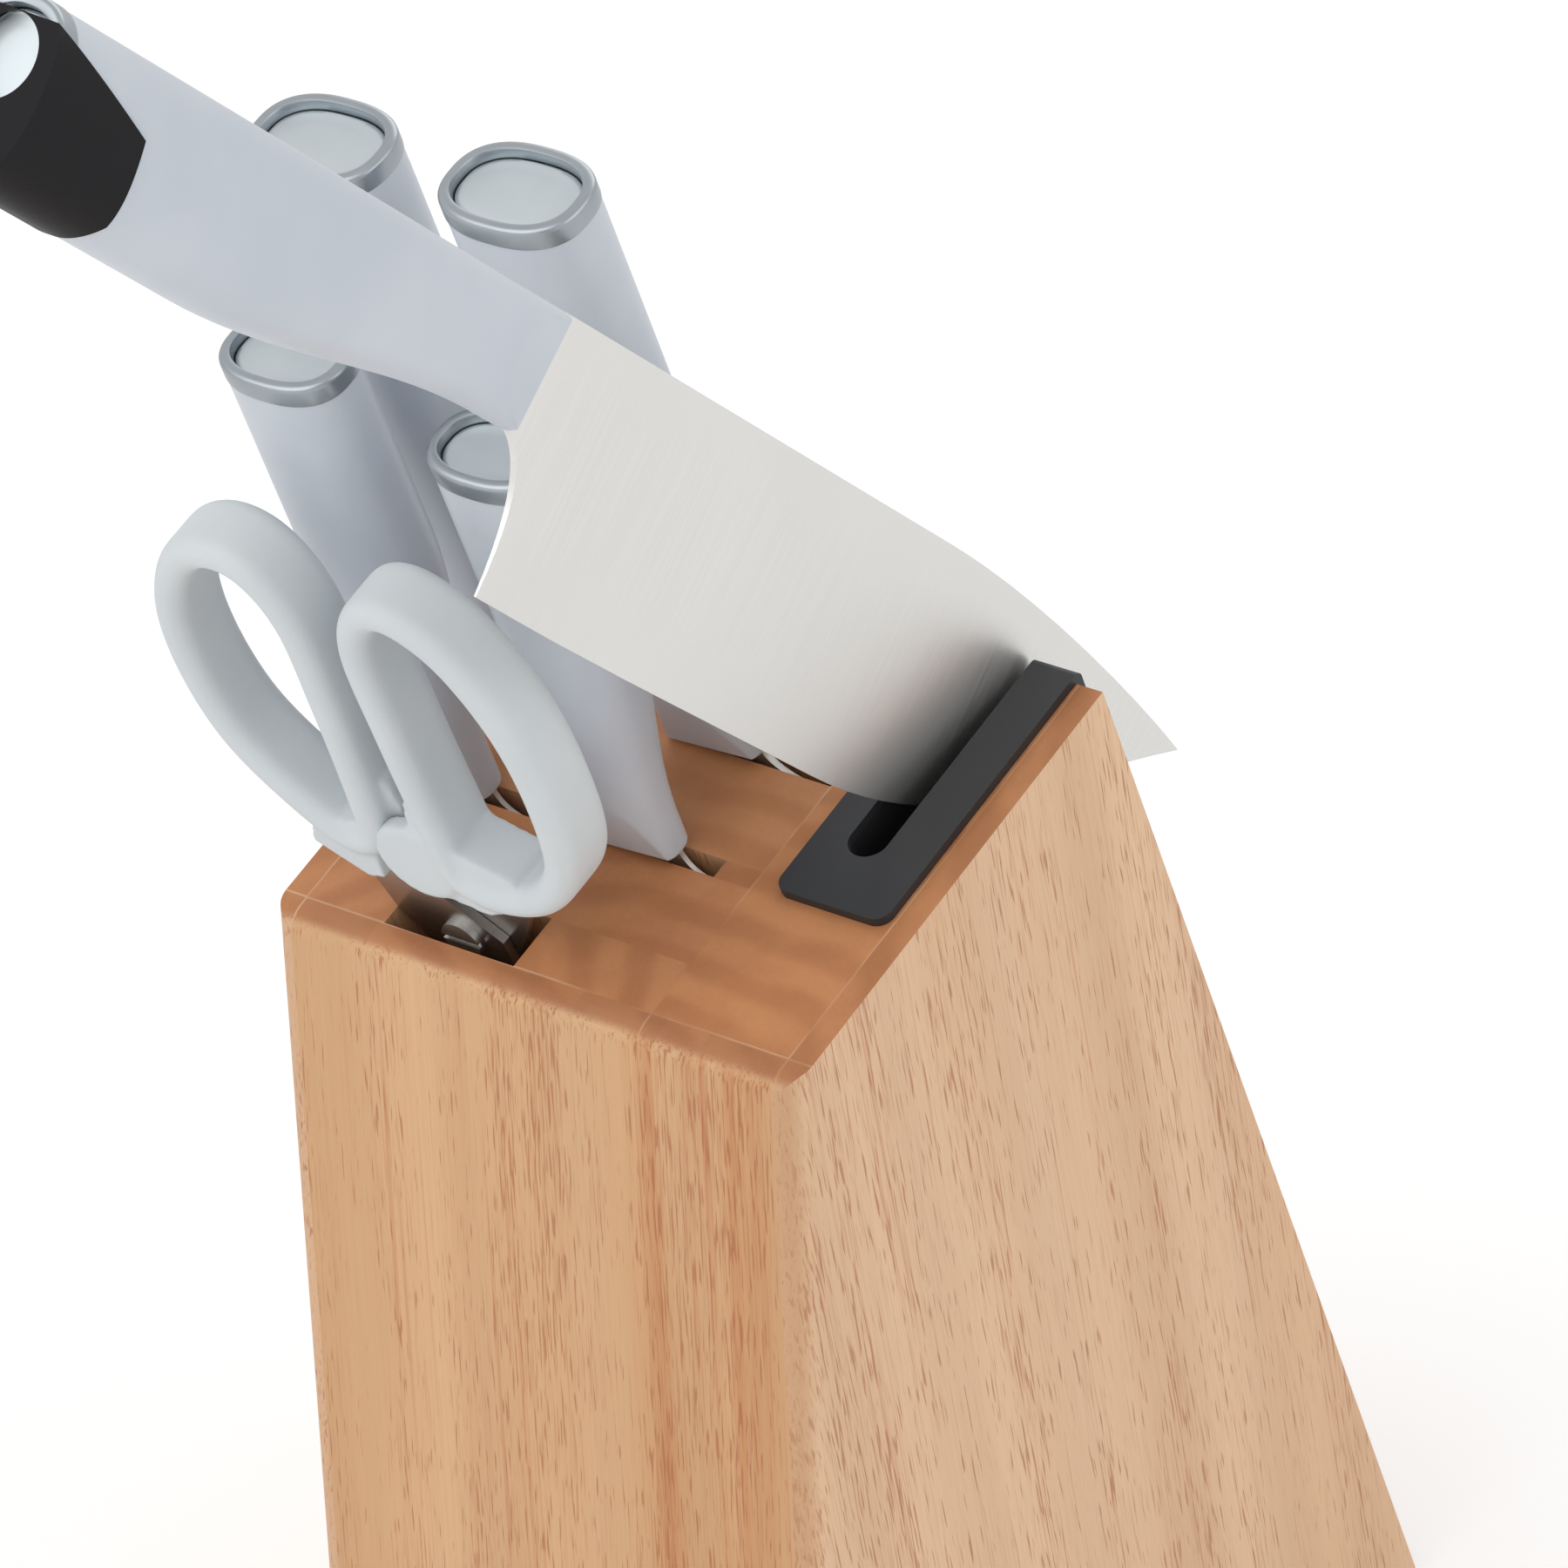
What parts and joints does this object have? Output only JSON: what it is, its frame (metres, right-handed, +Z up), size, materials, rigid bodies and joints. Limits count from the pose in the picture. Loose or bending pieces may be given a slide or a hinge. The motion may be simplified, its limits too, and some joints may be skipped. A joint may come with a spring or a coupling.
{
  "type": "knife block with knives",
  "caption": "Slanted wooden knife block with kitchen knives, scissors and a sharpening channel with a metal cap.",
  "frame": {"origin": "middle of the whole object's footprint, at the height of the feet's undersides", "axes": "+Z up; the front of the block looks along -Y; +X to the block's right seen from the front"},
  "size_m": [0.1173, 0.3308, 0.426],
  "materials": {
    "wood": "oiled light hardwood, vertical boards, end grain on the slanted top",
    "housing_plastic": "matte black moulding",
    "cap_metal": "matte dark grey",
    "ceramic_rod": "fine grit",
    "steel": "plain",
    "foot_rubber": "matte",
    "blade_steel": "brushed across",
    "handle_plastic": "satin pale grey-blue",
    "butt_chrome": "satin chrome",
    "butt_steel": "satin",
    "cover_plastic": "matte black",
    "scissor_plastic": "matte pale grey"
  },
  "bodies": {
    "block": {"front_board": "wood", "side_board_left": "wood", "side_board_right": "wood", "back_board": "wood", "core_strip_left": "wood", "core_strip_middle": "wood", "core_wedge": "wood", "core_board_front": "wood", "spacer_small_middle": "wood", "spacer_small_right": "wood", "core_board_middle": "wood", "spacer_large": "wood", "core_board_rear": "wood", "core_right": "wood", "sharpener_housing": "housing_plastic", "sharpener_cap": "cap_metal", "sharpening_rods": "ceramic_rod", "sharpener_screws": "steel", "rubber_feet": "foot_rubber", "foot_screws": "steel"},
    "carving_knife": {"carving_knife_blade": "blade_steel", "carving_knife_handle": "handle_plastic", "carving_knife_butt_ring": "butt_chrome", "carving_knife_butt_plate": "butt_steel"},
    "slicing_knife": {"slicing_knife_blade": "blade_steel", "slicing_knife_handle": "handle_plastic", "slicing_knife_butt_ring": "butt_chrome", "slicing_knife_butt_plate": "butt_steel"},
    "utility_knife": {"utility_knife_blade": "blade_steel", "utility_knife_handle": "handle_plastic", "utility_knife_butt_ring": "butt_chrome", "utility_knife_butt_plate": "butt_steel"},
    "paring_knife": {"paring_knife_blade": "blade_steel", "paring_knife_handle": "handle_plastic", "paring_knife_butt_ring": "butt_chrome", "paring_knife_butt_plate": "butt_steel"},
    "chef_knife": {"chef_knife_blade": "blade_steel", "chef_knife_handle": "handle_plastic", "chef_knife_butt_ring": "butt_chrome", "chef_knife_butt_plate": "butt_steel", "chef_knife_butt_cover": "cover_plastic"},
    "scissor_half_left": {"scissor_blade_left": "blade_steel", "scissor_handle_left": "scissor_plastic", "scissor_pivot_screw": "steel", "scissor_pivot_nut": "steel"},
    "scissor_half_right": {"scissor_blade_right": "blade_steel", "scissor_handle_right": "scissor_plastic"}
  },
  "joints": [
    {"name": "carving_knife_lift", "type": "slide", "parent": "block", "child": "carving_knife", "axis": [0, -0.3746, 0.9272], "range_m": [0, 0.21]},
    {"name": "slicing_knife_lift", "type": "slide", "parent": "block", "child": "slicing_knife", "axis": [0, -0.3746, 0.9272], "range_m": [0, 0.2]},
    {"name": "utility_knife_lift", "type": "slide", "parent": "block", "child": "utility_knife", "axis": [0, -0.3746, 0.9272], "range_m": [0, 0.135]},
    {"name": "paring_knife_lift", "type": "slide", "parent": "block", "child": "paring_knife", "axis": [0, -0.3746, 0.9272], "range_m": [0, 0.1]},
    {"name": "chef_knife_draw", "type": "slide", "parent": "block", "child": "chef_knife", "axis": [-0.0326, -0.7639, 0.6446], "range_m": [0, 0.12]},
    {"name": "scissors_lift", "type": "slide", "parent": "block", "child": "scissor_half_left", "axis": [0, -0.3746, 0.9272], "range_m": [0, 0.105]},
    {"name": "scissor_pivot", "type": "hinge", "parent": "scissor_half_left", "child": "scissor_half_right", "pos_m": [-0.0208, -0.00389, 0.19098], "axis": [0, 0.9272, 0.3746], "range_deg": [0, 6]}
  ]
}
